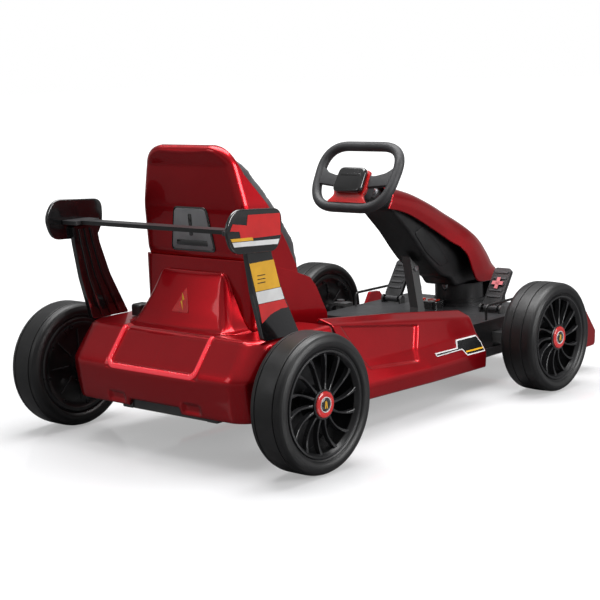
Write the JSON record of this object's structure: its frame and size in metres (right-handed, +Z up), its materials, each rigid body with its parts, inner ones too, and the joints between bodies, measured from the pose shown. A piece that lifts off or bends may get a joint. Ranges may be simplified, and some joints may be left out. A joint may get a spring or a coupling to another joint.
{
  "type": "ride-on go-kart",
  "caption": "Low red ride-on go-kart for a child, with bucket seat, steered front wheels, foot pedals, rear wing and spoked wheels with smooth black tyres.",
  "frame": {"origin": "centre of the kart's footprint, on the ground", "axes": "+X towards the front, +Y to the driver's left, +Z up"},
  "size_m": [1.207, 0.763, 0.6],
  "materials": {
    "painted_red": "candy metallic red under clear lacquer",
    "bright_red": "bright red gloss",
    "red_lens": "translucent red lens",
    "switch_red": "lit red switch cap",
    "gloss_black": "piano black",
    "black_plastic": "fine-textured black",
    "grey_plastic": "mid grey",
    "rim_black": "satin black",
    "wheel_grip": "dark grey grained grip",
    "tyre": "satin black",
    "seat_foam": "dark grey padded fabric",
    "black_steel": "black powder coat",
    "bright_steel": "zinc plated"
  },
  "bodies": {
    "chassis": {"frame_rails": "black_steel", "frame_brackets": "black_steel", "front_axle_beam": "black_steel", "rear_axle": "bright_steel", "drive_unit_left": "black_plastic", "drive_unit_right": "black_plastic", "battery": "black_plastic", "floor_pan": "black_plastic", "front_box": "black_plastic", "rear_fairing": "painted_red", "tail_light": "red_lens", "fins": "gloss_black", "winglets": "gloss_black", "wing_bar": "black_plastic", "side_pod_left": "painted_red", "side_pod_right": "painted_red", "column_cowl": "black_plastic", "column_bush": "bright_steel", "pedestal": "black_plastic", "nose_hood": "painted_red", "nose_bracket": "black_plastic", "column_strut": "black_steel", "bolts": "bright_steel", "foot_guards": "black_steel", "front_wing": "painted_red", "switch_box": "gloss_black", "pedal_brackets": "black_steel", "seat_rails": "black_steel"},
    "seat": {"seat_runners": "black_steel", "seat_shell": "painted_red", "seat_back_shell": "painted_red", "seat_back_cushion": "seat_foam", "seat_base_cushion": "seat_foam", "seat_badge": "grey_plastic"},
    "steering": {"steering_wheel": "wheel_grip", "wheel_trim": "bright_red", "wheel_pad": "gloss_black", "steering_shaft": "bright_steel"},
    "lower_shaft": {"lower_shaft": "bright_steel"},
    "tie_rod_left": {"tie_rod_left": "bright_steel"},
    "tie_rod_right": {"tie_rod_right": "bright_steel"},
    "knuckle_left": {"knuckle_left": "black_steel"},
    "knuckle_right": {"knuckle_right": "black_steel"},
    "accelerator": {"accelerator_pedal": "black_plastic"},
    "brake": {"brake_pedal": "black_plastic"},
    "power_button": {"power_button": "switch_red"},
    "direction_rocker": {"direction_rocker": "switch_red"},
    "deck_knob": {"deck_knob": "black_plastic"},
    "wheel_rear_left": {"tyre_rear_left": "tyre", "rim_rear_left": "rim_black", "cap_rear_left": "bright_red"},
    "wheel_rear_right": {"tyre_rear_right": "tyre", "rim_rear_right": "rim_black", "cap_rear_right": "bright_red"},
    "wheel_front_left": {"tyre_front_left": "tyre", "rim_front_left": "rim_black", "cap_front_left": "bright_red"},
    "wheel_front_right": {"tyre_front_right": "tyre", "rim_front_right": "rim_black", "cap_front_right": "bright_red"}
  },
  "joints": [
    {"name": "seat_slide", "type": "slide", "parent": "chassis", "child": "seat", "axis": [1, 0, 0], "range_m": [0, 0.06]},
    {"name": "steering_turn", "type": "hinge", "parent": "chassis", "child": "steering", "pos_m": [0.3525, 0, 0.3392], "axis": [0.859, 0, -0.512], "range_deg": [-20, 20]},
    {"name": "lower_shaft_turn", "type": "hinge", "parent": "chassis", "child": "lower_shaft", "pos_m": [0.4845, 0, 0.108], "axis": [0.4958, 0, -0.8684], "range_deg": [-21, 21]},
    {"name": "tie_rod_left_pivot", "type": "hinge", "parent": "lower_shaft", "child": "tie_rod_left", "pos_m": [0.52358, 0, 0.13031], "axis": [0.4958, 0, -0.8684], "range_deg": [-21, 21]},
    {"name": "tie_rod_right_pivot", "type": "hinge", "parent": "lower_shaft", "child": "tie_rod_right", "pos_m": [0.52358, 0, 0.13031], "axis": [0.4958, 0, -0.8684], "range_deg": [-21, 21]},
    {"name": "knuckle_left_turn", "type": "hinge", "parent": "chassis", "child": "knuckle_left", "pos_m": [0.3445, 0.262, 0.123], "axis": [0, 0, 1], "range_deg": [-16, 16]},
    {"name": "knuckle_right_turn", "type": "hinge", "parent": "chassis", "child": "knuckle_right", "pos_m": [0.3445, -0.262, 0.123], "axis": [0, 0, 1], "range_deg": [-16, 16]},
    {"name": "wheel_front_left_spin", "type": "hinge", "parent": "knuckle_left", "child": "wheel_front_left", "pos_m": [0.3445, 0.336, 0.123], "axis": [0, 1, 0], "continuous": true},
    {"name": "wheel_front_right_spin", "type": "hinge", "parent": "knuckle_right", "child": "wheel_front_right", "pos_m": [0.3445, -0.336, 0.123], "axis": [0, 1, 0], "continuous": true},
    {"name": "wheel_rear_left_spin", "type": "hinge", "parent": "chassis", "child": "wheel_rear_left", "pos_m": [-0.4675, 0.3415, 0.133], "axis": [0, 1, 0], "continuous": true},
    {"name": "wheel_rear_right_spin", "type": "hinge", "parent": "chassis", "child": "wheel_rear_right", "pos_m": [-0.4675, -0.3415, 0.133], "axis": [0, 1, 0], "continuous": true},
    {"name": "accelerator_press", "type": "hinge", "parent": "chassis", "child": "accelerator", "pos_m": [0.4105, -0.147, 0.16], "axis": [0, 1, 0], "range_deg": [0, 18], "stiffness_Nm_per_rad": 4, "springref_deg": -11.46},
    {"name": "brake_press", "type": "hinge", "parent": "chassis", "child": "brake", "pos_m": [0.4105, 0.147, 0.16], "axis": [0, 1, 0], "range_deg": [0, 18], "stiffness_Nm_per_rad": 4, "springref_deg": -11.46},
    {"name": "power_press", "type": "slide", "parent": "chassis", "child": "power_button", "axis": [0, 0, -1], "range_m": [0, 0.002], "stiffness_N_per_m": 300, "springref_m": -0.001},
    {"name": "direction_rock", "type": "hinge", "parent": "chassis", "child": "direction_rocker", "pos_m": [0.3925, 0.008, 0.166], "axis": [1, 0, 0], "range_deg": [-8, 8]},
    {"name": "knob_pull", "type": "slide", "parent": "chassis", "child": "deck_knob", "axis": [0, 0, 1], "range_m": [0, 0.008], "stiffness_N_per_m": 300, "springref_m": -0.004}
  ],
  "couplings": [
    {"joint": "lower_shaft_turn", "follows": "steering_turn", "ratio": 1},
    {"joint": "tie_rod_left_pivot", "follows": "steering_turn", "ratio": -1},
    {"joint": "tie_rod_right_pivot", "follows": "steering_turn", "ratio": -1},
    {"joint": "knuckle_left_turn", "follows": "steering_turn", "ratio": -0.675},
    {"joint": "knuckle_right_turn", "follows": "steering_turn", "ratio": -0.675}
  ]
}
